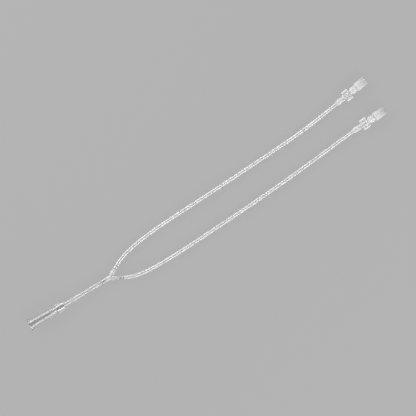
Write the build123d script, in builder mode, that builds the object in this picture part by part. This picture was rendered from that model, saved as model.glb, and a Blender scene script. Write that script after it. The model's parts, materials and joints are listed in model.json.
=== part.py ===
"""Y tubing set, lying on a flat surface. Millimetres, +Z up, +X from the funnel to the plugs.

A clear funnel connector holds a short stem tube, a moulded Y splits it into two long limb
tubes, and each limb ends in a winged hub whose conical port is closed by a push-in plug.
"""

import os

from build123d import *
from math import asin, atan2, cos, degrees, pi, radians, sin, sqrt, tan

# ---- stem tube and limb tubes -------------------------------------------------------
STEM_OUTER_D = 4.5
STEM_BORE_D = 3.3
STEM_LENGTH = 56.8  # from the Y's shoulder to the stop inside the collar
LIMB_OUTER_D = 4.1
LIMB_BORE_D = 3.0
BOND_GAP = 0.02  # radial room for solvent or friction wherever a round piece sits in another

# ---- funnel connector, from the collar to the mouth ----------------------------------
COLLAR_D = 9.8
COLLAR_LENGTH = 8.0
COLLAR_BEVEL = 0.5
SOCKET_DEPTH = 7.6
WAIST_D = 5.8
WAIST_LENGTH = 1.0
FUNNEL_SMALL_D = 7.2
FUNNEL_LARGE_D = 10.3
FUNNEL_LENGTH = 28.3
FUNNEL_SHOULDER_BEVEL = 0.6
FUNNEL_FLARE = 0.12  # how far the cone's side bows in from a straight line
LIP_D = 11.75
LIP_LENGTH = 2.6
LIP_BACK_BEVEL = 0.4
LIP_FRONT_R = 0.8
MOUTH_BORE_D = 8.6
THROAT_BORE_D = 4.6
TAPER_DEPTH = 27.5

# ---- Y piece ---------------------------------------------------------------------------
Y_HALF_ANGLE = 31.0
Y_STEM_ARM_D = 5.0
Y_STEM_ARM_LENGTH = 4.4
Y_STEM_SPIGOT_D = 4.0
Y_STEM_SPIGOT_LENGTH = 6.6
Y_STEM_BORE_D = 2.6
Y_LIMB_ARM_D = 4.8
Y_LIMB_ARM_LENGTH = 9.6
Y_LIMB_SPIGOT_LENGTH = 4.4
Y_LIMB_BORE_D = 2.0
Y_CROTCH_R = 0.8
SPIGOT_CHAMFER = 0.25
SWELL_TAPER_LENGTH = 1.5  # where the stem tube settles back to its own size

# ---- winged hub, from its tail to its rim ------------------------------------------------
TAIL_MOUTH_D = 4.9
TAIL_BELL_D = 6.0
TAIL_BELL_LENGTH = 4.0
SLEEVE_D = 5.5
SLEEVE_LENGTH = 6.0
TUBE_SOCKET_DEPTH = 8.5
HUB_PASSAGE_D = 3.0
GRIP_BODY_D = 6.0
WING_SPAN = 10.9
WING_LENGTH = 7.4
WING_THICKNESS = 1.5
WING_EDGE_WIDTH = 1.3
WING_EDGE_THICKNESS = 2.4
WING_CORNER_R = 0.8
NECK_D = 5.4
NECK_LENGTH = 1.8
BARREL_D = 6.5
BARREL_LENGTH = 5.8
THREAD_D = 7.8
THREAD_STARTS = 2
THREAD_LEAD = 5.0
THREAD_LENGTH = 3.4
THREAD_FROM_NECK = 0.7
THREAD_ROOT_WIDTH = 1.35
THREAD_CREST_WIDTH = 0.65
THREAD_SUNK = 0.15
PORT_D = 4.3
PORT_DEPTH = 8.0
PORT_TAPER = 0.06  # on the diameter, for each millimetre of depth

# ---- push-in plug --------------------------------------------------------------------------
PLUG_COLLAR_D = 8.7
PLUG_COLLAR_LENGTH = 4.4
PLUG_GRIP_D = 8.3
PLUG_GRIP_LENGTH = 8.3
PLUG_HOLLOW_D = 6.2
PLUG_HOLLOW_DEPTH = 8.2
PLUG_RIM_GAP = 0.15  # between the hub's rim and the plug's collar
NOSE_DEPTH = 7.0  # of the nose inside the port
NOSE_BORE_D = 1.8
NOSE_BORE_DEPTH = 6.0
PLUG_BEVEL = 0.4
PLUG_PULL = 14.0  # travel that takes the nose clear of the port

# ---- how the set lies -------------------------------------------------------------------------
LEFT_TAIL_XY = (283.8, 34.0)  # centre of each hub's tail, from the junction of the Y
LEFT_HEADING = 9.4
RIGHT_TAIL_XY = (284.4, 2.0)
RIGHT_HEADING = 3.3
LIE_CLEAR = 0.05  # between a limb tube and the surface
FIRST_RUN = 8.4  # of each limb tube, straight off the Y's arm
LEFT_ROUTE = [
    (31.0, 14.6),
    (64.0, 19.0),
    (122.0, 21.4),
    (180.0, 24.2),
    (236.5, 27.4),
]
RIGHT_ROUTE = [
    (31.0, -13.2),
    (63.5, -14.1),
    (121.5, -11.2),
    (179.0, -7.9),
    (236.0, -2.9),
]
CORNER_SHARE = 0.45  # of the shorter run, given to each arc of a limb tube


def lying_frame(origin, heading, slope):
    """A frame whose Z runs along a fitting's centre line and whose Y points upwards."""
    level, rise = cos(radians(slope)), sin(radians(slope))
    along = (level * cos(radians(heading)), level * sin(radians(heading)), rise)
    left = (-sin(radians(heading)), cos(radians(heading)), 0)
    return Plane(origin=origin, x_dir=left, z_dir=along)


def bevel_corners(sketch, corners):
    """Bevels the outline's corners, given as (x, y, length)."""
    for x, y, length in corners:
        chamfer(sketch.vertices().sort_by_distance((x, y, 0))[0], length)


# ---- funnel connector: turned profile, x = radius, y = distance from the tube's stop ----------
collar_back = -SOCKET_DEPTH
collar_front = collar_back + COLLAR_LENGTH
funnel_back = collar_front + WAIST_LENGTH
lip_back = funnel_back + FUNNEL_LENGTH
mouth = lip_back + LIP_LENGTH
throat = mouth - TAPER_DEPTH
funnel_mid_r = (FUNNEL_SMALL_D + FUNNEL_LARGE_D) / 4 - FUNNEL_FLARE

with BuildPart() as funnel_connector:
    with BuildSketch(Plane.XZ) as funnel_profile:
        with BuildLine():
            Polyline(
                (STEM_BORE_D / 2, 0),
                (STEM_OUTER_D / 2 + BOND_GAP, 0),
                (STEM_OUTER_D / 2 + BOND_GAP, collar_back),
                (COLLAR_D / 2, collar_back),
                (COLLAR_D / 2, collar_front),
                (WAIST_D / 2, collar_front),
                (WAIST_D / 2, funnel_back),
                (FUNNEL_SMALL_D / 2, funnel_back),
            )
            ThreePointArc(
                (FUNNEL_SMALL_D / 2, funnel_back),
                (funnel_mid_r, (funnel_back + lip_back) / 2),
                (FUNNEL_LARGE_D / 2, lip_back),
            )
            Polyline(
                (FUNNEL_LARGE_D / 2, lip_back),
                (LIP_D / 2, lip_back),
                (LIP_D / 2, mouth),
                (MOUTH_BORE_D / 2, mouth),
                (THROAT_BORE_D / 2, throat),
                (STEM_BORE_D / 2, throat),
                (STEM_BORE_D / 2, 0),
            )
        make_face()
        bevel_corners(
            funnel_profile,
            [
                (COLLAR_D / 2, collar_back, COLLAR_BEVEL),
                (COLLAR_D / 2, collar_front, COLLAR_BEVEL),
                (FUNNEL_SMALL_D / 2, funnel_back, FUNNEL_SHOULDER_BEVEL),
                (LIP_D / 2, lip_back, LIP_BACK_BEVEL),
            ],
        )
        mouth_corner = funnel_profile.vertices().sort_by_distance((LIP_D / 2, mouth, 0))[0]
        fillet(mouth_corner, LIP_FRONT_R)
    revolve(axis=Axis.Z)

# ---- stem tube: turned profile, y = distance from the Y's shoulder -----------------------------
wall_area = STEM_OUTER_D**2 - STEM_BORE_D**2
swelled_bore_d = Y_STEM_SPIGOT_D + 2 * BOND_GAP
swelled_outer_d = sqrt(swelled_bore_d**2 + wall_area)
swell_end = Y_STEM_SPIGOT_LENGTH
settled = swell_end + SWELL_TAPER_LENGTH

with BuildPart() as stem_tube:
    with BuildSketch(Plane.XZ):
        with BuildLine():
            Polyline(
                (swelled_bore_d / 2, 0),
                (swelled_outer_d / 2, 0),
                (swelled_outer_d / 2, swell_end),
                (STEM_OUTER_D / 2, settled),
                (STEM_OUTER_D / 2, STEM_LENGTH),
                (STEM_BORE_D / 2, STEM_LENGTH),
                (STEM_BORE_D / 2, settled),
                (swelled_bore_d / 2, swell_end),
                close=True,
            )
        make_face()
    revolve(axis=Axis.Z)

# ---- Y piece: stem arm along -X, limb arms either side of +X ---------------------------------------
limb_spigot_d = LIMB_BORE_D - 2 * BOND_GAP
arms = [
    # direction, arm diameter, arm length, spigot diameter, spigot length, bore
    (180.0, Y_STEM_ARM_D, Y_STEM_ARM_LENGTH, Y_STEM_SPIGOT_D, Y_STEM_SPIGOT_LENGTH, Y_STEM_BORE_D),
    (Y_HALF_ANGLE, Y_LIMB_ARM_D, Y_LIMB_ARM_LENGTH, limb_spigot_d, Y_LIMB_SPIGOT_LENGTH, Y_LIMB_BORE_D),
    (-Y_HALF_ANGLE, Y_LIMB_ARM_D, Y_LIMB_ARM_LENGTH, limb_spigot_d, Y_LIMB_SPIGOT_LENGTH, Y_LIMB_BORE_D),
]
crotch_x = Y_LIMB_ARM_D / 2 / sin(radians(Y_HALF_ANGLE))


def arm_plane(direction, distance=0.0):
    """The plane square to an arm, at a distance from the junction."""
    x, y = cos(radians(direction)), sin(radians(direction))
    return Plane(origin=(distance * x, distance * y, 0), x_dir=(0, 0, 1), z_dir=(x, y, 0))


with BuildPart() as y_piece:
    for direction, arm_d, arm_length, _, _, _ in arms:
        with BuildSketch(arm_plane(direction)):
            Circle(arm_d / 2)
        extrude(amount=arm_length)
    crotch = y_piece.edges().sort_by_distance((crotch_x, 0, 0))[0]
    fillet(crotch, Y_CROTCH_R)
    for direction, _, arm_length, spigot_d, spigot_length, _ in arms:
        with BuildSketch(arm_plane(direction, arm_length)):
            Circle(spigot_d / 2)
        extrude(amount=spigot_length)
        spigot_end = arm_plane(direction, arm_length + spigot_length).origin
        rim_edge = y_piece.edges().filter_by(GeomType.CIRCLE).sort_by_distance(spigot_end)[0]
        chamfer(rim_edge, SPIGOT_CHAMFER)
    for direction, _, arm_length, _, spigot_length, bore_d in arms:
        with BuildSketch(arm_plane(direction)):
            Circle(bore_d / 2)
        extrude(amount=arm_length + spigot_length, mode=Mode.SUBTRACT)
    Sphere(Y_STEM_BORE_D / 2, mode=Mode.SUBTRACT)

# ---- winged hub: Z from the tail's mouth to the rim -----------------------------------------------------
sleeve_end = TAIL_BELL_LENGTH + SLEEVE_LENGTH
grip_end = sleeve_end + WING_LENGTH
neck_end = grip_end + NECK_LENGTH
rim = neck_end + BARREL_LENGTH
port_bottom = rim - PORT_DEPTH
port_bottom_d = PORT_D - PORT_TAPER * PORT_DEPTH
thread_start = neck_end + THREAD_FROM_NECK

with BuildPart() as thread_tooth:
    with BuildLine() as thread_path:
        Helix(THREAD_LEAD, THREAD_LENGTH, BARREL_D / 2, center=(0, 0, thread_start))
    with BuildSketch(Plane(origin=(0, 0, thread_start), x_dir=(1, 0, 0), z_dir=(0, -1, 0))):
        with BuildLine():
            Polyline(
                (BARREL_D / 2 - THREAD_SUNK, -THREAD_ROOT_WIDTH / 2),
                (THREAD_D / 2, -THREAD_CREST_WIDTH / 2),
                (THREAD_D / 2, THREAD_CREST_WIDTH / 2),
                (BARREL_D / 2 - THREAD_SUNK, THREAD_ROOT_WIDTH / 2),
                close=True,
            )
        make_face()
    sweep(path=thread_path.line, is_frenet=True)

with BuildPart() as hub:
    with BuildSketch(Plane.XZ) as hub_profile:
        with BuildLine():
            Polyline(
                (0, 0),
                (TAIL_MOUTH_D / 2, 0),
                (TAIL_BELL_D / 2, TAIL_BELL_LENGTH),
                (SLEEVE_D / 2, TAIL_BELL_LENGTH),
                (SLEEVE_D / 2, sleeve_end),
                (GRIP_BODY_D / 2, sleeve_end),
                (GRIP_BODY_D / 2, grip_end),
                (NECK_D / 2, grip_end),
                (NECK_D / 2, neck_end),
                (BARREL_D / 2, neck_end),
                (BARREL_D / 2, rim),
                (0, rim),
                close=True,
            )
        make_face()
    revolve(axis=Axis.Z)
    # wings: a flat plate across the hub with a thicker bead along each outer edge
    with BuildSketch(Plane.XZ) as wing_plate:
        with Locations((0, (sleeve_end + grip_end) / 2)):
            RectangleRounded(WING_SPAN, WING_LENGTH, WING_CORNER_R)
    extrude(amount=WING_THICKNESS / 2, both=True)
    with BuildSketch(Plane.XZ) as wing_edges:
        with Locations((0, (sleeve_end + grip_end) / 2)):
            RectangleRounded(WING_SPAN, WING_LENGTH, WING_CORNER_R)
            Rectangle(WING_SPAN - 2 * WING_EDGE_WIDTH, WING_LENGTH, mode=Mode.SUBTRACT)
    extrude(amount=WING_EDGE_THICKNESS / 2, both=True)
    for turn in range(THREAD_STARTS):
        add(thread_tooth.part, rotation=(0, 0, 360 * turn / THREAD_STARTS))
    # tube socket, passage and conical port
    with BuildSketch(Plane.XZ):
        with BuildLine():
            Polyline(
                (0, 0),
                (LIMB_OUTER_D / 2 + BOND_GAP, 0),
                (LIMB_OUTER_D / 2 + BOND_GAP, TUBE_SOCKET_DEPTH),
                (HUB_PASSAGE_D / 2, TUBE_SOCKET_DEPTH),
                (HUB_PASSAGE_D / 2, port_bottom),
                (port_bottom_d / 2, port_bottom),
                (PORT_D / 2, rim),
                (0, rim),
                close=True,
            )
        make_face()
    revolve(axis=Axis.Z, mode=Mode.SUBTRACT)

# ---- push-in plug: Z from the hub's rim outwards ------------------------------------------------------------
nose_root_d = PORT_D - 2 * BOND_GAP
nose_tip_d = nose_root_d - PORT_TAPER * NOSE_DEPTH
collar_end = PLUG_RIM_GAP + PLUG_COLLAR_LENGTH
plug_end = collar_end + PLUG_GRIP_LENGTH

with BuildPart() as plug:
    with BuildSketch(Plane.XZ) as plug_profile:
        with BuildLine():
            Polyline(
                (0, NOSE_BORE_DEPTH - NOSE_DEPTH),
                (NOSE_BORE_D / 2, NOSE_BORE_DEPTH - NOSE_DEPTH),
                (NOSE_BORE_D / 2, -NOSE_DEPTH),
                (nose_tip_d / 2, -NOSE_DEPTH),
                (nose_root_d / 2, 0),
                (nose_root_d / 2, PLUG_RIM_GAP),
                (PLUG_COLLAR_D / 2, PLUG_RIM_GAP),
                (PLUG_COLLAR_D / 2, collar_end),
                (PLUG_GRIP_D / 2, collar_end),
                (PLUG_GRIP_D / 2, plug_end),
                (PLUG_HOLLOW_D / 2, plug_end),
                (PLUG_HOLLOW_D / 2, plug_end - PLUG_HOLLOW_DEPTH),
                (0, plug_end - PLUG_HOLLOW_DEPTH),
                close=True,
            )
        make_face()
        bevel_corners(
            plug_profile,
            [
                (PLUG_COLLAR_D / 2, PLUG_RIM_GAP, PLUG_BEVEL),
                (PLUG_GRIP_D / 2, plug_end, PLUG_BEVEL),
            ],
        )
    revolve(axis=Axis.Z)

# ---- where the stem line lies: on its collar and on the ends of the Y's limb arms --------------------------------
collar_edge = Y_STEM_ARM_LENGTH + STEM_LENGTH - SOCKET_DEPTH + COLLAR_BEVEL
arm_reach = Y_LIMB_ARM_LENGTH * cos(radians(Y_HALF_ANGLE))
stem_slope = degrees(asin((COLLAR_D - Y_LIMB_ARM_D) / 2 / (collar_edge + arm_reach)))
junction_z = Y_LIMB_ARM_D / 2 + arm_reach * sin(radians(stem_slope))
junction = Vector(0, 0, junction_z)
stem_frame = lying_frame(junction, 180, stem_slope)
shoulder_frame = stem_frame.offset(Y_STEM_ARM_LENGTH)
stop_frame = shoulder_frame.offset(STEM_LENGTH)
y_frame = Plane(origin=junction, x_dir=-stem_frame.z_dir, z_dir=stem_frame.y_dir)

# ---- where each hub lies: on its tail's bell and on the plug's collar -----------------------------------------------
plug_edge = rim + PLUG_RIM_GAP + PLUG_BEVEL
bell_to_plug = plug_edge - TAIL_BELL_LENGTH
hub_slope = degrees(atan2((PLUG_COLLAR_D - TAIL_BELL_D) / 2, bell_to_plug))
tail_z = TAIL_BELL_D / 2 * cos(radians(hub_slope)) - TAIL_BELL_LENGTH * sin(radians(hub_slope))
left_frame = lying_frame((*LEFT_TAIL_XY, tail_z), LEFT_HEADING, hub_slope)
right_frame = lying_frame((*RIGHT_TAIL_XY, tail_z), RIGHT_HEADING, hub_slope)

# ---- limb tubes: straight runs joined by arcs as large as the runs allow ---------------------------------------------
lie_z = LIMB_OUTER_D / 2 + LIE_CLEAR
lift_run = (tail_z - lie_z) / sin(radians(hub_slope))  # the hub lifts this much of its tube


def limb_points(direction, route, hub_frame):
    """The route's points, from the Y's shoulder to the bottom of the hub's socket."""
    shoulder = y_frame.from_local_coords(arm_plane(direction, Y_LIMB_ARM_LENGTH).origin)
    leaving = y_frame.from_local_coords(arm_plane(direction, Y_LIMB_ARM_LENGTH + FIRST_RUN).origin)
    lifting = hub_frame.offset(-lift_run).origin
    socket_bottom = hub_frame.offset(TUBE_SOCKET_DEPTH).origin
    lying = [Vector(x, y, lie_z) for x, y in route]
    return [shoulder, leaving, *lying, lifting, socket_bottom]


def corner_radii(points):
    """The radius at each corner: a share of the shorter run over the tangent of half the turn."""
    runs = [b - a for a, b in zip(points, points[1:])]
    return [
        CORNER_SHARE * min(a.length, b.length) / tan(radians(a.get_angle(b) / 2))
        for a, b in zip(runs, runs[1:])
    ]


def make_limb_tube(points):
    """A hollow tube along the route."""
    with BuildPart() as tube:
        with BuildLine() as route:
            FilletPolyline(*points, radius=corner_radii(points))
        path = route.wire()
        with BuildSketch(Plane(origin=path @ 0, z_dir=path % 0)):
            Circle(LIMB_OUTER_D / 2)
            Circle(LIMB_BORE_D / 2, mode=Mode.SUBTRACT)
        sweep(path=path)
    section = pi * (LIMB_OUTER_D**2 - LIMB_BORE_D**2) / 4
    radii = [round(radius) for radius in corner_radii(points)]
    print("limb tube length", round(path.length, 2), "radii", radii)
    print("  volume over section times length", round(tube.part.volume / section / path.length, 5))
    return tube


left_points = limb_points(Y_HALF_ANGLE, LEFT_ROUTE, left_frame)
right_points = limb_points(-Y_HALF_ANGLE, RIGHT_ROUTE, right_frame)
left_limb_tube = make_limb_tube(left_points)
right_limb_tube = make_limb_tube(right_points)

# ---- put the pieces in place and write them ---------------------------------------------------------------------------
placed = {
    "funnel_connector": funnel_connector.part.moved(stop_frame.location),
    "stem_tube": stem_tube.part.moved(shoulder_frame.location),
    "y_piece": y_piece.part.moved(y_frame.location),
    "left_luer_hub": hub.part.moved(left_frame.location),
    "right_luer_hub": hub.part.moved(right_frame.location),
    "left_luer_plug": plug.part.moved(left_frame.offset(rim).location),
    "right_luer_plug": plug.part.moved(right_frame.offset(rim).location),
}
# The origin is under the middle of the rigid pieces, on the surface that they lie on.
lows = [piece.bounding_box().min for piece in placed.values()]
highs = [piece.bounding_box().max for piece in placed.values()]
middle_x = (min(low.X for low in lows) + max(high.X for high in highs)) / 2
middle_y = (min(low.Y for low in lows) + max(high.Y for high in highs)) / 2
datum = Location((-middle_x, -middle_y, -min(low.Z for low in lows)))
placed["left_limb_tube"] = left_limb_tube.part
placed["right_limb_tube"] = right_limb_tube.part

os.makedirs("parts", exist_ok=True)
for name, piece in placed.items():
    shape = piece.moved(datum)
    shape.label = name
    export_step(shape, f"parts/{name}.step")
print("datum", datum.position, "stem slope", round(stem_slope, 3), "hub slope", round(hub_slope, 3))
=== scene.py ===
"""The looks of a Y tubing set: clear hoses, moulded fittings and milky plugs on a grey table."""

import json
from math import cos, hypot, pi, radians, sin, sqrt, tan

import bmesh
import bpy
from mathutils import Matrix, Vector


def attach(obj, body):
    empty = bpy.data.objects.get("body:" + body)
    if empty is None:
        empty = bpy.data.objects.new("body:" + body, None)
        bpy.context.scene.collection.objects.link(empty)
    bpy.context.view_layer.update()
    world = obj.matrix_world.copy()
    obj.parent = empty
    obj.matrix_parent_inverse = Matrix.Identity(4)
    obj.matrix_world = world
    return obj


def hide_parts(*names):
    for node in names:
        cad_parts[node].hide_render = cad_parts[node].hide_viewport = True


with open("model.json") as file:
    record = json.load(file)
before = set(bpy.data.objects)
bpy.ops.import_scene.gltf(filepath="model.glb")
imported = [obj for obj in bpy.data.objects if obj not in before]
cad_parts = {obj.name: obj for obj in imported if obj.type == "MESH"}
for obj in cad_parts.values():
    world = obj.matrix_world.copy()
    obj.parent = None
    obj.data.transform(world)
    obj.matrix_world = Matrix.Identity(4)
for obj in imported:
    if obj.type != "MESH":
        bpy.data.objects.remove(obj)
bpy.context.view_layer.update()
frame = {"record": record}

MM = 0.001  # sizes are in millimetres, as the pieces' own drawings give them, or else say metres

# ---- sizes of the hoses ------------------------------------------------------------
STEM_OUTER_D = 4.5
STEM_BORE_D = 3.3
STEM_LENGTH = 56.8
LIMB_OUTER_D = 4.1
LIMB_BORE_D = 3.0
BOND_GAP = 0.02

# ---- sizes of the funnel connector -------------------------------------------------
COLLAR_D = 9.8
COLLAR_LENGTH = 8.0
SOCKET_DEPTH = 7.6
WAIST_D = 5.8
WAIST_LENGTH = 1.0
FUNNEL_SMALL_D = 7.2
FUNNEL_LARGE_D = 10.3
FUNNEL_LENGTH = 28.3
FUNNEL_FLARE = 0.12  # how far the cone dips inside a straight line at its middle
LIP_D = 11.75
LIP_LENGTH = 2.6
MOUTH_BORE_D = 8.6
THROAT_BORE_D = 4.6
TAPER_DEPTH = 27.5
COLLAR_ROUND = 0.5
FUNNEL_BACK_ROUND = 0.6
LIP_STEP_ROUND = 0.5
LIP_BACK_ROUND = 0.4
LIP_ROUND = 0.8
MOUTH_ROUND = 0.3

# ---- sizes of the Y moulding -------------------------------------------------------
Y_HALF_ANGLE = 31.0
Y_STEM_ARM_D = 5.0
Y_STEM_ARM_LENGTH = 4.4
Y_STEM_SPIGOT_D = 4.0
Y_STEM_SPIGOT_LENGTH = 6.6
Y_STEM_BORE_D = 2.6
Y_LIMB_ARM_D = 4.8
Y_LIMB_ARM_LENGTH = 9.6
Y_LIMB_SPIGOT_LENGTH = 4.4
Y_LIMB_BORE_D = 2.0
SWELL_TAPER_LENGTH = 1.5
Y_VOXEL = 0.13  # grain of the one skin that the three arms are melted into
Y_SMOOTHING = 10  # rounds of smoothing, which leave the fillets between the arms
Y_OVERRUN = 0.5  # how far a spigot starts inside its arm, and a bore runs past its spigot

# ---- sizes of a winged hub ---------------------------------------------------------
TAIL_MOUTH_D = 4.9
TAIL_BELL_D = 6.0
TAIL_BELL_LENGTH = 4.0
SLEEVE_D = 5.5
SLEEVE_LENGTH = 6.0
TUBE_SOCKET_DEPTH = 8.5
HUB_PASSAGE_D = 3.0
GRIP_BODY_D = 6.0
WING_SPAN = 10.9
WING_LENGTH = 7.4
WING_THICKNESS = 1.5
WING_EDGE_WIDTH = 1.3
WING_EDGE_THICKNESS = 2.4
WING_EDGE_ROUND = 0.6
WING_EDGE_SEGMENTS = 5
WING_ROUND = 0.3
WING_INSET = 0.2  # how far the plate of the wings stays inside their thick edges
WING_STEP = 0.01  # how far the plate's ends stay behind the edges' ends
WING_FADE = 0.3  # the width over which the clear tube turns to milky wing
BARREL_MILK = 0.6  # how milky the barrel is, where the wings are 1
SLEEVE_MILK = 0.45
NECK_D = 5.4
NECK_LENGTH = 1.8
BARREL_D = 6.5
BARREL_LENGTH = 5.8
THREAD_D = 7.8
THREAD_STARTS = 2
THREAD_LEAD = 5.0
THREAD_LENGTH = 3.4
THREAD_FROM_NECK = 0.7
THREAD_ROOT_WIDTH = 1.35
THREAD_CREST_WIDTH = 0.65
THREAD_SUNK = 0.3
THREAD_STEPS = 48
PORT_D = 4.3
PORT_DEPTH = 8.0
PORT_TAPER = 0.06
BORE_OVERRUN = 1  # how far the cut for a bore runs past both ends of the hub
BELL_ROUND = 0.2
GRIP_ROUND = 0.1
BARREL_ROUND = 0.25

# ---- sizes of a push-in plug -------------------------------------------------------
PLUG_COLLAR_D = 8.7
PLUG_COLLAR_LENGTH = 4.4
PLUG_GRIP_D = 8.3
PLUG_GRIP_LENGTH = 8.3
PLUG_HOLLOW_D = 6.2
PLUG_HOLLOW_DEPTH = 8.2
PLUG_RIM_GAP = 0.15
NOSE_DEPTH = 7.0
NOSE_BORE_D = 1.8
NOSE_BORE_DEPTH = 6.0
PLUG_COLLAR_ROUND = 0.4
PLUG_STEP_ROUND = 0.15
PLUG_RIM_ROUND = 0.4
PLUG_HOLLOW_ROUND = 0.25

# ---- where the limb hoses lie, from the middle of the Y, in metres -----------------
FIRST_RUN = 0.0084
LIE_CLEAR = 0.00005
LEFT_ROUTE = [
    (0.0310, 0.0146),
    (0.0640, 0.0190),
    (0.1220, 0.0214),
    (0.1800, 0.0242),
    (0.2365, 0.0274),
]
RIGHT_ROUTE = [
    (0.0310, -0.0132),
    (0.0635, -0.0141),
    (0.1215, -0.0112),
    (0.1790, -0.0079),
    (0.2360, -0.0029),
]

# ---- how the meshes are made -------------------------------------------------------
SPIN_STEPS = 160
ROD_STEPS = 64
ROUND_SEGMENTS = 4
BLOCK_SEGMENTS = 3
SHARP_ANGLE = 32.0
SAME_PLACE = 0.01  # how near a point lies to an edge that it belongs to
DRAWN_WELD = 0.0005  # points nearer than this are merged while a piece is drawn
PLACED_WELD = 0.000002  # the same in metres, once the piece is in its place
HOSE_SIDES = 12  # curve bevel resolution: a hose has four times as many sides and four more
HOSE_STEPS = 24  # points on the hose's line for each stretch between route points
HOSE_ORDER = 3  # of its NURBS line


# ======================================================================================
# Frames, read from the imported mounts
# ======================================================================================
mounts = {mount["name"]: mount for mount in frame["record"]["mounts"]}


def lying_frame(origin, along):
    """Z runs along a fitting's centre line, X to its left and Y upwards."""
    along = Vector(along).normalized()
    left = Vector((0, 0, 1)).cross(along).normalized()
    turn = Matrix((left, along.cross(left), along)).transposed()
    return Matrix.Translation(origin) @ turn.to_4x4()


def along_frame(place, distance):
    """The same frame moved along its own Z by a distance in millimetres."""
    return place @ Matrix.Translation((0, 0, distance * MM))


funnel_mouth = COLLAR_LENGTH - SOCKET_DEPTH + WAIST_LENGTH + FUNNEL_LENGTH + LIP_LENGTH
mouth_frame = lying_frame(mounts["funnel_socket"]["pos_m"], mounts["funnel_socket"]["axis"])
stop_frame = along_frame(mouth_frame, -funnel_mouth)
shoulder_frame = along_frame(stop_frame, -STEM_LENGTH)
junction_frame = along_frame(shoulder_frame, -Y_STEM_ARM_LENGTH)
junction = junction_frame.translation

hub_length = TAIL_BELL_LENGTH + SLEEVE_LENGTH + WING_LENGTH + NECK_LENGTH + BARREL_LENGTH
rim_frames = {
    side: lying_frame(mounts[side + "_port"]["pos_m"], mounts[side + "_port"]["axis"])
    for side in ("left", "right")
}
tail_frames = {side: along_frame(rim_frames[side], -hub_length) for side in rim_frames}


# ======================================================================================
# Shaping
# ======================================================================================
def new_object(name, mesh):
    """Links a new object that holds the mesh."""
    piece = bpy.data.objects.new(name, mesh)
    bpy.context.scene.collection.objects.link(piece)
    return piece


def mesh_object(name, bm):
    """Puts a finished bmesh in a new object."""
    mesh = bpy.data.meshes.new(name)
    bm.to_mesh(mesh)
    bm.free()
    return new_object(name, mesh)


def turned(outline, roundings=(), steps=SPIN_STEPS):
    """A turned solid: the closed outline of (radius, height), spun about Z.

    Each rounding is (radius, height, size) of one ring edge.
    """
    bm = bmesh.new()
    corners = [bm.verts.new((radius, 0, height)) for radius, height in outline]
    for start, end in zip(corners, corners[1:] + corners[:1]):
        bm.edges.new((start, end))
    bmesh.ops.spin(
        bm,
        geom=bm.verts[:] + bm.edges[:],
        cent=(0, 0, 0),
        axis=(0, 0, 1),
        angle=2 * pi,
        steps=steps,
        use_merge=True,
    )
    bmesh.ops.remove_doubles(bm, verts=bm.verts[:], dist=DRAWN_WELD)
    loose = [edge for edge in bm.edges if not edge.link_faces]
    bmesh.ops.delete(bm, geom=loose, context="EDGES")
    bmesh.ops.recalc_face_normals(bm, faces=bm.faces[:])
    for radius, height, size in roundings:
        round_ring(bm, radius, height, size)
    return bm


def round_ring(bm, radius, height, size):
    """Rounds the ring edge of a turned solid at a radius and height."""

    def on_ring(vert):
        off_radius = abs(hypot(vert.co.x, vert.co.y) - radius)
        return off_radius < SAME_PLACE and abs(vert.co.z - height) < SAME_PLACE

    ring = [edge for edge in bm.edges if all(on_ring(vert) for vert in edge.verts)]
    bmesh.ops.bevel(
        bm,
        geom=ring,
        offset=size,
        offset_type="OFFSET",
        segments=ROUND_SEGMENTS,
        profile=0.5,
        affect="EDGES",
        clamp_overlap=True,
        material=-1,
    )


def block(size, centre, rounding, segments=BLOCK_SEGMENTS):
    """A moulded block with all its edges rounded."""
    bm = bmesh.new()
    bmesh.ops.create_cube(bm, size=1)
    bmesh.ops.scale(bm, vec=size, verts=bm.verts[:])
    bmesh.ops.translate(bm, vec=centre, verts=bm.verts[:])
    bmesh.ops.bevel(
        bm,
        geom=bm.edges[:],
        offset=rounding,
        segments=segments,
        profile=0.5,
        affect="EDGES",
        clamp_overlap=True,
        material=-1,
    )
    return bm


def evaluated_mesh(piece):
    """The mesh that an object shows, with its modifiers applied."""
    depsgraph = bpy.context.evaluated_depsgraph_get()
    return bpy.data.meshes.new_from_object(piece.evaluated_get(depsgraph))


def apply_modifiers(piece):
    """Leaves the piece with the mesh that its modifiers gave it."""
    mesh = evaluated_mesh(piece)
    piece.modifiers.clear()
    piece.data = mesh


def combine(base, others, operation):
    """Joins other solids to the base, or cuts them from it; the others are used up."""
    for other in others:
        join = base.modifiers.new("join", "BOOLEAN")
        join.operation = operation
        join.solver = "EXACT"
        join.object = other
        apply_modifiers(base)
        bpy.data.objects.remove(other)


def close_seams(mesh):
    """Merges the points that lie on one another, turns the faces outwards and shades smooth."""
    bm = bmesh.new()
    bm.from_mesh(mesh)
    bmesh.ops.remove_doubles(bm, verts=bm.verts[:], dist=PLACED_WELD)
    bmesh.ops.recalc_face_normals(bm, faces=bm.faces[:])
    bm.to_mesh(mesh)
    bm.free()
    mesh.shade_smooth()


def give_part(piece, material, body, node):
    """Gives a piece its finish and the body that it rides on, and hides the part that it stands
    for.
    """
    piece.data.materials.clear()
    piece.data.materials.append(material)
    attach(piece, body)
    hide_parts(node)


def finish(piece, place, material, body, node):
    """Puts a piece drawn in millimetres in its place, gives it its finish and body, and hides its
    part.
    """
    piece.data.transform(place @ Matrix.Scale(MM, 4))
    close_seams(piece.data)
    piece.data.set_sharp_from_angle(angle=radians(SHARP_ANGLE))
    give_part(piece, material, body, node)


# ======================================================================================
# Materials
# ======================================================================================
GRAIN_STRENGTH = 0.05


def linear(hex_colour):
    """An sRGB hex colour as a linear RGBA tuple."""

    def channel(text):
        value = int(text, 16) / 255
        return value / 12.92 if value <= 0.04045 else ((value + 0.055) / 1.055) ** 2.4

    digits = hex_colour.lstrip("#")
    return (*(channel(digits[i : i + 2]) for i in (0, 2, 4)), 1.0)


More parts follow.
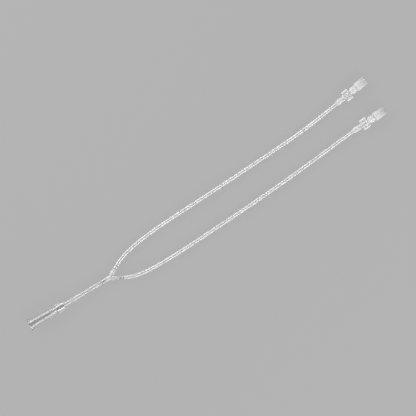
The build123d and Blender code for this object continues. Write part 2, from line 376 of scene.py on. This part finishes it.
def add(tree, kind, settings=None, links=None):
    """Adds a node; settings name its properties or inputs, links map an input to an output.

    Inputs that share a name are linked by their number.
    """
    made = tree.nodes.new("ShaderNode" + kind)
    for name, value in (settings or {}).items():
        if name in made.inputs:
            made.inputs[name].default_value = value
        else:
            setattr(made, name, value)
    for name, output in (links or {}).items():
        tree.links.new(made.inputs[name], output)
    return made


def new_material(name):
    """A material with an empty tree."""
    material = bpy.data.materials.new(name)
    material.use_nodes = True
    material.node_tree.nodes.clear()
    return material


def wavy_plastic(name, settings, grain_mm, grain_depth_mm):
    """A clear or hazy plastic with the faint waviness that its mould or die leaves."""
    material = new_material(name)
    tree = material.node_tree
    place = add(tree, "TexCoord")
    waves = add(
        tree,
        "TexNoise",
        {"Scale": 1 / (grain_mm * MM), "Detail": 2.0, "Roughness": 0.5},
        {"Vector": place.outputs["Object"]},
    )
    bump = add(
        tree,
        "Bump",
        {"Strength": GRAIN_STRENGTH, "Distance": grain_depth_mm * MM},
        {"Height": waves.outputs["Fac"]},
    )
    shader = add(tree, "BsdfPrincipled", settings, {"Normal": bump.outputs["Normal"]})
    add(tree, "OutputMaterial", links={"Surface": shader.outputs["BSDF"]})
    return material


def finish_where(material, attribute, settings):
    """Moves the finish to other settings where the mesh's own attribute is 1."""
    tree = material.node_tree
    shader = tree.nodes["Principled BSDF"]
    share = add(tree, "Attribute", {"attribute_name": attribute})
    for name, value in settings.items():
        ends = {"To Min": shader.inputs[name].default_value, "To Max": value}
        level = add(tree, "MapRange", ends, {"Value": share.outputs["Fac"]})
        tree.links.new(shader.inputs[name], level.outputs["Result"])


# Plasticised PVC, injection moulded in a polished mould: glossy, clear and a little wavy. Its grey
# tint over the whole funnel is painted shade, which darkens it as the table's shadow under it
# would.
FUNNEL_PVC = wavy_plastic(
    "moulded_clear_pvc",
    {
        # painted shade: this grey tint darkens all that is seen through the funnel
        "Base Color": linear("#e3e3e3"),
        "Roughness": 0.04,
        "IOR": 1.53,
        "Transmission Weight": 0.99,
    },
    grain_mm=2.5,
    grain_depth_mm=0.02,
)
# Plasticised PVC, extruded as hose: glossy and clear with a trace of haze, its wall left faintly
# wavy by the die.
HOSE_PVC = wavy_plastic(
    "extruded_clear_pvc",
    {
        "Base Color": linear("#fafafa"),
        "Roughness": 0.05,
        "IOR": 1.55,
        "Transmission Weight": 0.975,
    },
    grain_mm=3.0,
    grain_depth_mm=0.008,
)
# The stem's hose is the same extruded PVC, a touch greyer: the grey is painted shade, which
# darkens it as the table's shadow under it would.
STEM_PVC = wavy_plastic(
    "extruded_pvc_painted_shade",
    {
        # painted shade: this grey tint darkens all that is seen through the stem hose
        "Base Color": linear("#f0f0f0"),
        "Roughness": 0.05,
        "IOR": 1.56,
        "Transmission Weight": 0.965,
    },
    grain_mm=3.0,
    grain_depth_mm=0.008,
)
# Rigid PVC, injection moulded in a fine matt mould: slightly milky with a satin surface, so that
# the bores show as soft shapes.
Y_PVC = wavy_plastic(
    "moulded_milky_pvc",
    {
        "Base Color": linear("#f3f3f3"),
        "Roughness": 0.25,
        "IOR": 1.54,
        "Transmission Weight": 0.85,
    },
    grain_mm=1.5,
    grain_depth_mm=0.02,
)
# Natural ABS, injection moulded with a satin mould on its tubes and a spark-textured one on its
# wings: half clear where it is thin, milky and dull where it is thick.
HUB_ABS = wavy_plastic(
    "moulded_natural_abs",
    {
        "Base Color": linear("#ebebeb"),
        "Roughness": 0.4,
        "IOR": 1.54,
        "Transmission Weight": 0.8,
    },
    grain_mm=1.5,
    grain_depth_mm=0.015,
)
finish_where(HUB_ABS, "thick", {"Roughness": 0.6, "Transmission Weight": 0.3})
# Natural polyethylene, injection moulded in a matt mould: grey-white and waxy with no gloss.
# Light soaks through the hollow grip, and less of it through the thick collar.
PLUG_PE = wavy_plastic(
    "moulded_natural_polyethylene",
    {
        "Base Color": linear("#c8c8c8"),
        "Roughness": 1.0,
        "IOR": 1.51,
        "Transmission Weight": 0.6,
    },
    grain_mm=0.8,
    grain_depth_mm=0.02,
)
finish_where(PLUG_PE, "thick", {"Transmission Weight": 0.2})


# ======================================================================================
# Limb hoses
# ======================================================================================
lie_z = LIMB_OUTER_D / 2 * MM + LIE_CLEAR


def route_points(half_angle, route, tail_frame):
    """The control points of a limb hose, from the Y's shoulder to the bottom of its socket."""
    line_along = (junction_frame.to_3x3() @ Vector((0, 0, -1))).normalized()
    across = (junction_frame.to_3x3() @ Vector((1, 0, 0))).normalized()
    # the junction frame's X points to the left of a line that runs back to the funnel
    arm = line_along * cos(radians(half_angle)) - across * sin(radians(half_angle))
    shoulder = junction + arm * Y_LIMB_ARM_LENGTH * MM
    leaving = shoulder + arm * FIRST_RUN
    lying = [Vector((junction.x + x, junction.y + y, lie_z)) for x, y in route]
    tail_axis = (tail_frame.to_3x3() @ Vector((0, 0, 1))).normalized()
    tail = tail_frame.translation
    lifting = tail - tail_axis * (tail.z - lie_z) / tail_axis.z
    socket_bottom = tail + tail_axis * TUBE_SOCKET_DEPTH * MM
    return [shoulder, leaving, *lying, lifting, socket_bottom]


def hose_line(name, points, radius=0.0):
    """A smooth NURBS line through the route's points, as thick as asked."""
    line = bpy.data.curves.new(name, "CURVE")
    line.dimensions = "3D"
    line.resolution_u = HOSE_STEPS
    line.bevel_depth = radius
    line.bevel_resolution = HOSE_SIDES
    spline = line.splines.new("NURBS")
    spline.points.add(len(points) - 1)
    for control, point in zip(spline.points, points):
        control.co = (*point, 1.0)
    spline.order_u = HOSE_ORDER
    spline.use_endpoint_u = True
    return new_object(name, line)


def curve_mesh(curve_object):
    """The mesh of a curve, which is then removed."""
    mesh = evaluated_mesh(curve_object)
    bpy.data.objects.remove(curve_object)
    return mesh


def make_limb_hose(side, half_angle, route):
    """A hollow hose that follows its route, bonded over the Y's arm and into its hub."""
    points = route_points(half_angle, route, tail_frames[side])
    line = curve_mesh(hose_line(side + "_line", points))
    skin = curve_mesh(hose_line(side + "_skin", points, LIMB_OUTER_D / 2 * MM))
    close_seams(skin)
    hose = new_object(side + "_hose", skin)
    shell = hose.modifiers.new("wall", "SOLIDIFY")
    shell.thickness = (LIMB_OUTER_D - LIMB_BORE_D) / 2 * MM
    shell.offset = -1
    give_part(hose, HOSE_PVC, "line_set", side + "_limb_tube")


make_limb_hose("left", Y_HALF_ANGLE, LEFT_ROUTE)
make_limb_hose("right", -Y_HALF_ANGLE, RIGHT_ROUTE)


# ======================================================================================
# Stem hose
# ======================================================================================
def make_stem_hose():
    """The stem hose, swelled over the Y's spigot and plain for the rest of its length."""
    wall_area = STEM_OUTER_D**2 - STEM_BORE_D**2
    swelled_bore_d = Y_STEM_SPIGOT_D + 2 * BOND_GAP
    swelled_outer_d = sqrt(swelled_bore_d**2 + wall_area)
    settled = Y_STEM_SPIGOT_LENGTH + SWELL_TAPER_LENGTH
    bm = turned(
        [
            (swelled_bore_d / 2, 0),
            (swelled_outer_d / 2, 0),
            (swelled_outer_d / 2, Y_STEM_SPIGOT_LENGTH),
            (STEM_OUTER_D / 2, settled),
            (STEM_OUTER_D / 2, STEM_LENGTH),
            (STEM_BORE_D / 2, STEM_LENGTH),
            (STEM_BORE_D / 2, settled),
            (swelled_bore_d / 2, Y_STEM_SPIGOT_LENGTH),
        ]
    )
    hose = mesh_object("stem_hose", bm)
    finish(hose, shoulder_frame, STEM_PVC, "line_set", "stem_tube")


make_stem_hose()


# ======================================================================================
# Funnel connector
# ======================================================================================
def make_funnel():
    """The soft funnel: a thick collar over the stem, a waist, a long cone and a rounded lip."""
    collar_back = -SOCKET_DEPTH
    collar_front = collar_back + COLLAR_LENGTH
    funnel_back = collar_front + WAIST_LENGTH
    lip_back = funnel_back + FUNNEL_LENGTH
    mouth = lip_back + LIP_LENGTH
    throat = mouth - TAPER_DEPTH
    middle_r = (FUNNEL_SMALL_D + FUNNEL_LARGE_D) / 4 - FUNNEL_FLARE
    bm = turned(
        [
            (STEM_BORE_D / 2, 0),
            (STEM_OUTER_D / 2 + BOND_GAP, 0),
            (STEM_OUTER_D / 2 + BOND_GAP, collar_back),
            (COLLAR_D / 2, collar_back),
            (COLLAR_D / 2, collar_front),
            (WAIST_D / 2, collar_front),
            (WAIST_D / 2, funnel_back),
            (FUNNEL_SMALL_D / 2, funnel_back),
            (middle_r, (funnel_back + lip_back) / 2),
            (FUNNEL_LARGE_D / 2, lip_back),
            (LIP_D / 2, lip_back),
            (LIP_D / 2, mouth),
            (MOUTH_BORE_D / 2, mouth),
            (THROAT_BORE_D / 2, throat),
            (STEM_BORE_D / 2, throat),
        ],
        roundings=[
            (COLLAR_D / 2, collar_back, COLLAR_ROUND),
            (COLLAR_D / 2, collar_front, COLLAR_ROUND),
            (FUNNEL_SMALL_D / 2, funnel_back, FUNNEL_BACK_ROUND),
            (FUNNEL_LARGE_D / 2, lip_back, LIP_STEP_ROUND),
            (LIP_D / 2, lip_back, LIP_BACK_ROUND),
            (LIP_D / 2, mouth, LIP_ROUND),
            (MOUTH_BORE_D / 2, mouth, MOUTH_ROUND),
        ],
    )
    funnel = mesh_object("funnel", bm)
    finish(funnel, stop_frame, FUNNEL_PVC, "line_set", "funnel_connector")


make_funnel()


# ======================================================================================
# Y moulding
# ======================================================================================
def rod(diameter, start, end, along):
    """A round rod between two distances along a direction in the XY plane."""
    radius = diameter / 2
    bm = turned([(0, start), (radius, start), (radius, end), (0, end)], steps=ROD_STEPS)
    turn = Vector((0, 0, 1)).rotation_difference(Vector(along)).to_matrix()
    bmesh.ops.transform(bm, matrix=turn.to_4x4(), verts=bm.verts[:])
    return mesh_object("rod", bm)


def make_y():
    """The Y: three arms that blend into each other, a spigot on each and bores that meet."""
    run, rise = cos(radians(Y_HALF_ANGLE)), sin(radians(Y_HALF_ANGLE))
    limb_spigot_d = LIMB_BORE_D - 2 * BOND_GAP
    # diameter and length of the arm, diameter and length of its spigot, bore
    stem_sizes = (
        Y_STEM_ARM_D,
        Y_STEM_ARM_LENGTH,
        Y_STEM_SPIGOT_D,
        Y_STEM_SPIGOT_LENGTH,
        Y_STEM_BORE_D,
    )
    limb_sizes = (
        Y_LIMB_ARM_D,
        Y_LIMB_ARM_LENGTH,
        limb_spigot_d,
        Y_LIMB_SPIGOT_LENGTH,
        Y_LIMB_BORE_D,
    )
    arms = [
        ((-1, 0, 0), *stem_sizes),
        ((run, rise, 0), *limb_sizes),
        ((run, -rise, 0), *limb_sizes),
    ]
    y_piece, *limbs = [rod(arm_d, 0, length, along) for along, arm_d, length, *_ in arms]
    combine(y_piece, limbs, "UNION")
    remesh = y_piece.modifiers.new("one_skin", "REMESH")
    remesh.mode = "VOXEL"
    remesh.voxel_size = Y_VOXEL
    soften = y_piece.modifiers.new("soften", "SMOOTH")
    soften.iterations = Y_SMOOTHING
    apply_modifiers(y_piece)
    spigots = [
        rod(spigot_d, length - Y_OVERRUN, length + spigot_length, along)
        for along, _, length, spigot_d, spigot_length, _ in arms
    ]
    combine(y_piece, spigots, "UNION")
    bores = [
        rod(bore_d, 0, length + spigot_length + Y_OVERRUN, along)
        for along, _, length, _, spigot_length, bore_d in arms
    ]
    combine(y_piece, bores, "DIFFERENCE")
    y_piece.name = "y_moulding"
    # the Y's own X runs away from the funnel, with its Z upwards
    axes = junction_frame.to_3x3()
    ahead = axes @ Vector((0, 0, -1))
    upwards = axes @ Vector((0, 1, 0))
    turn = Matrix((ahead, upwards.cross(ahead), upwards)).transposed().to_4x4()
    place = Matrix.Translation(junction) @ turn
    finish(y_piece, place, Y_PVC, "line_set", "y_piece")


make_y()


# ======================================================================================
# Winged hubs
# ======================================================================================
sleeve_end = TAIL_BELL_LENGTH + SLEEVE_LENGTH
grip_end = sleeve_end + WING_LENGTH
neck_end = grip_end + NECK_LENGTH
rim = neck_end + BARREL_LENGTH


def thread_tooth(turned_by):
    """One start of the lock thread, swept on its helix; its two ends are square."""
    sweep = 2 * pi * THREAD_LENGTH / THREAD_LEAD
    bm = bmesh.new()
    root, crest = BARREL_D / 2 - THREAD_SUNK, THREAD_D / 2
    start = neck_end + THREAD_FROM_NECK
    section = [
        bm.verts.new((root, 0, start - THREAD_ROOT_WIDTH / 2)),
        bm.verts.new((crest, 0, start - THREAD_CREST_WIDTH / 2)),
        bm.verts.new((crest, 0, start + THREAD_CREST_WIDTH / 2)),
        bm.verts.new((root, 0, start + THREAD_ROOT_WIDTH / 2)),
    ]
    face = bm.faces.new(section)
    bmesh.ops.spin(
        bm,
        geom=[face],
        cent=(0, 0, 0),
        axis=(0, 0, 1),
        dvec=(0, 0, THREAD_LENGTH / THREAD_STEPS),
        angle=sweep,
        steps=THREAD_STEPS,
        use_merge=False,
    )
    bmesh.ops.recalc_face_normals(bm, faces=bm.faces[:])
    turn = Matrix.Rotation(turned_by, 3, "Z")
    bmesh.ops.rotate(bm, cent=(0, 0, 0), matrix=turn, verts=bm.verts[:])
    return mesh_object("thread_tooth", bm)


def mark_thick(mesh, share_at):
    """Marks each point with how thick and so how milky the moulding is there, from 0 to 1."""
    mark = mesh.attributes.new("thick", "FLOAT", "POINT")
    for vert in mesh.vertices:
        mark.data[vert.index].value = min(1.0, max(0.0, share_at(vert.co)))


def hub_thickness(point):
    """Thick wings, a fairly thick barrel with the port in it, and a thin tube between the wings."""
    if point.z > grip_end + SAME_PLACE:
        return BARREL_MILK
    if point.z < sleeve_end - SAME_PLACE:
        return SLEEVE_MILK
    return (abs(point.x) - GRIP_BODY_D / 2) / WING_FADE


def make_hub(side):
    """A winged hub: a sleeve for the hose, two finger wings, and a threaded conical port."""
    body = turned(
        [
            (0, 0),
            (TAIL_MOUTH_D / 2, 0),
            (TAIL_BELL_D / 2, TAIL_BELL_LENGTH),
            (SLEEVE_D / 2, TAIL_BELL_LENGTH),
            (SLEEVE_D / 2, sleeve_end),
            (GRIP_BODY_D / 2, sleeve_end),
            (GRIP_BODY_D / 2, grip_end),
            (NECK_D / 2, grip_end),
            (NECK_D / 2, neck_end),
            (BARREL_D / 2, neck_end),
            (BARREL_D / 2, rim),
            (0, rim),
        ],
        roundings=[
            (TAIL_BELL_D / 2, TAIL_BELL_LENGTH, BELL_ROUND),
            (GRIP_BODY_D / 2, sleeve_end, GRIP_ROUND),
            (BARREL_D / 2, neck_end, BARREL_ROUND),
            (BARREL_D / 2, rim, BARREL_ROUND),
        ],
    )
    hub = mesh_object(side + "_hub", body)
    grip_middle = (sleeve_end + grip_end) / 2
    plate_size = (WING_SPAN - 2 * WING_INSET, WING_THICKNESS, WING_LENGTH - 2 * WING_STEP)
    plate = block(plate_size, (0, 0, grip_middle), WING_ROUND)
    edge_size = (WING_EDGE_WIDTH, WING_EDGE_THICKNESS, WING_LENGTH)
    edge_x = (WING_SPAN - WING_EDGE_WIDTH) / 2
    edges = [
        block(edge_size, (hand * edge_x, 0, grip_middle), WING_EDGE_ROUND, WING_EDGE_SEGMENTS)
        for hand in (1, -1)
    ]
    teeth = [thread_tooth(2 * pi * start / THREAD_STARTS) for start in range(THREAD_STARTS)]
    combine(hub, [mesh_object("plate", plate)], "UNION")
    combine(hub, [mesh_object("wing_edge", edge) for edge in edges], "UNION")
    combine(hub, teeth, "UNION")
    socket_r = LIMB_OUTER_D / 2 + BOND_GAP
    port_bottom = rim - PORT_DEPTH
    port_bottom_r = (PORT_D - PORT_TAPER * PORT_DEPTH) / 2
    bore = turned(
        [
            (0, -BORE_OVERRUN),
            (socket_r, -BORE_OVERRUN),
            (socket_r, TUBE_SOCKET_DEPTH),
            (HUB_PASSAGE_D / 2, TUBE_SOCKET_DEPTH),
            (HUB_PASSAGE_D / 2, port_bottom),
            (port_bottom_r, port_bottom),
            (PORT_D / 2, rim),
            (PORT_D / 2, rim + BORE_OVERRUN),
            (0, rim + BORE_OVERRUN),
        ]
    )
    combine(hub, [mesh_object("bore", bore)], "DIFFERENCE")
    mark_thick(hub.data, hub_thickness)
    finish(hub, tail_frames[side], HUB_ABS, "line_set", side + "_luer_hub")


# ======================================================================================
# Plugs
# ======================================================================================
collar_end = PLUG_RIM_GAP + PLUG_COLLAR_LENGTH
plug_end = collar_end + PLUG_GRIP_LENGTH


def plug_thickness(point):
    """The nose and the collar are thick, and the grip is a thin hollow tube."""
    return 1.0 if point.z < collar_end + SAME_PLACE else 0.0


def make_plug(side):
    """A push-in plug: a conical nose, a collar and a hollow grip."""
    nose_root_r = PORT_D / 2 - BOND_GAP
    nose_tip_r = nose_root_r - PORT_TAPER * NOSE_DEPTH / 2
    bm = turned(
        [
            (0, NOSE_BORE_DEPTH - NOSE_DEPTH),
            (NOSE_BORE_D / 2, NOSE_BORE_DEPTH - NOSE_DEPTH),
            (NOSE_BORE_D / 2, -NOSE_DEPTH),
            (nose_tip_r, -NOSE_DEPTH),
            (nose_root_r, 0),
            (nose_root_r, PLUG_RIM_GAP),
            (PLUG_COLLAR_D / 2, PLUG_RIM_GAP),
            (PLUG_COLLAR_D / 2, collar_end),
            (PLUG_GRIP_D / 2, collar_end),
            (PLUG_GRIP_D / 2, plug_end),
            (PLUG_HOLLOW_D / 2, plug_end),
            (PLUG_HOLLOW_D / 2, plug_end - PLUG_HOLLOW_DEPTH),
            (0, plug_end - PLUG_HOLLOW_DEPTH),
        ],
        roundings=[
            (PLUG_COLLAR_D / 2, PLUG_RIM_GAP, PLUG_COLLAR_ROUND),
            (PLUG_COLLAR_D / 2, collar_end, PLUG_STEP_ROUND),
            (PLUG_GRIP_D / 2, plug_end, PLUG_RIM_ROUND),
            (PLUG_HOLLOW_D / 2, plug_end, PLUG_HOLLOW_ROUND),
        ],
    )
    plug = mesh_object(side + "_plug", bm)
    mark_thick(plug.data, plug_thickness)
    node = side + "_luer_plug"
    finish(plug, rim_frames[side], PLUG_PE, side + "_plug", node)


for side in ("left", "right"):
    make_hub(side)
    make_plug(side)


# ======================================================================================
# Table, light and camera, in metres
# ======================================================================================
TABLE_GREY = "#b3b3b3"
TABLE_SIZE = 6.0
TABLE_IOR = 1.6  # of the table's clear satin lacquer
TABLE_SHEEN = 0.15  # the lacquer's roughness
TABLE_GLOW = 0.955  # how bright the table's own grey shows
GLOW_SHARE = 0.9  # share of the table's grey that shadows don't touch
WORLD_STRENGTH = 0.75
LAMP_DISTANCE = 1.2
LAMP_LENGTH = 2.0
LAMP_ELEVATION = 23  # degrees above the table, as the set sees the lamps
LAMP_SPREAD = 40  # degrees of height, as the set sees the lamps
KEY_WATTS = 20
FILL_WATTS = 18
CAMERA_HEIGHT = 4.0
CAMERA_REACH = 10.0
CAMERA_FIELD = 0.416  # side of the square that the camera sees at the pieces' middle height
MIDDLE_HEIGHT = 0.0045
CAMERA_TURN = -30.62
CAMERA_AIM = (0.11993, 0.0100)  # from the middle of the Y
SENSOR = 36.0

aim = Vector((junction.x + CAMERA_AIM[0], junction.y + CAMERA_AIM[1], 0))


def table_material():
    """Grey paint under a clear satin lacquer.

    The paint shows its own grey to the camera and through the clear pieces, and keeps the
    shadows. Only rays that a piece has bent or mirrored meet the lacquer, which mirrors the low
    lamps into the sides of the hoses and the funnel.
    """
    material = new_material("satin_grey_table")
    tree = material.node_tree
    grey = linear(TABLE_GREY)
    paint = add(tree, "BsdfDiffuse", {"Color": grey})
    glow = add(tree, "Emission", {"Color": grey, "Strength": TABLE_GLOW})
    rays = add(tree, "LightPath")
    bent = add(
        tree,
        "Math",
        {"operation": "MAXIMUM"},
        {0: rays.outputs["Is Glossy Ray"], 1: rays.outputs["Is Transmission Ray"]},
    )
    seen = add(
        tree,
        "Math",
        {"operation": "MAXIMUM"},
        {0: rays.outputs["Is Camera Ray"], 1: bent.outputs["Value"]},
    )
    share = add(tree, "MapRange", {"To Max": GLOW_SHARE}, {"Value": seen.outputs["Value"]})
    ground = add(
        tree,
        "MixShader",
        links={0: share.outputs["Result"], 1: paint.outputs["BSDF"], 2: glow.outputs["Emission"]},
    )
    fresnel = add(tree, "Fresnel", {"IOR": TABLE_IOR})
    lacquer = add(tree, "BsdfGlossy", {"Color": (1, 1, 1, 1), "Roughness": TABLE_SHEEN})
    sheen = add(
        tree,
        "Math",
        {"operation": "MULTIPLY"},
        {0: fresnel.outputs["Fac"], 1: bent.outputs["Value"]},
    )
    top = add(
        tree,
        "MixShader",
        links={0: sheen.outputs["Value"], 1: ground.outputs["Shader"], 2: lacquer.outputs["BSDF"]},
    )
    add(tree, "OutputMaterial", links={"Surface": top.outputs["Shader"]})
    return material


def make_table():
    """A wide, flat table top under the set."""
    bm = bmesh.new()
    bmesh.ops.create_grid(bm, x_segments=1, y_segments=1, size=TABLE_SIZE / 2)
    table = mesh_object("table", bm)
    table.data.materials.append(table_material())


def make_world():
    """Plain white surroundings."""
    world = bpy.data.worlds.new("studio")
    world.use_nodes = True
    background = world.node_tree.nodes["Background"]
    background.inputs["Color"].default_value = (1, 1, 1, 1)
    background.inputs["Strength"].default_value = WORLD_STRENGTH
    bpy.context.scene.world = world


def make_camera():
    """A camera straight above the set, turned as the set is seen."""
    data = bpy.data.cameras.new("camera")
    data.sensor_width = SENSOR
    data.lens = SENSOR * (CAMERA_HEIGHT - MIDDLE_HEIGHT) / CAMERA_FIELD
    data.clip_end = CAMERA_REACH
    camera = bpy.data.objects.new("camera", data)
    bpy.context.scene.collection.objects.link(camera)
    camera.location = (aim.x, aim.y, CAMERA_HEIGHT)
    camera.rotation_euler = (0, 0, radians(CAMERA_TURN))
    bpy.context.scene.camera = camera


def make_strip_lamp(name, watts, side):
    """A long soft lamp beside the set: side 1 is the camera's upper left, -1 its lower right."""
    lamp = bpy.data.lights.new(name, "AREA")
    lamp.shape = "RECTANGLE"
    lamp.size = LAMP_LENGTH
    lamp.size_y = 2 * LAMP_DISTANCE * tan(radians(LAMP_SPREAD / 2))
    lamp.energy = watts
    light = bpy.data.objects.new(name, lamp)
    bpy.context.scene.collection.objects.link(light)
    turn = Matrix.Rotation(radians(CAMERA_TURN), 3, "Z")
    outwards = turn @ Vector((-side, side, 0)).normalized() * cos(radians(LAMP_ELEVATION))
    upwards = Vector((0, 0, sin(radians(LAMP_ELEVATION))))
    light.location = aim + (outwards + upwards) * LAMP_DISTANCE
    light.rotation_euler = (aim - light.location).to_track_quat("-Z", "Y").to_euler()


make_table()
make_world()
make_camera()
make_strip_lamp("key", KEY_WATTS, side=1)
make_strip_lamp("fill", FILL_WATTS, side=-1)
bpy.context.scene.view_settings.view_transform = "Standard"
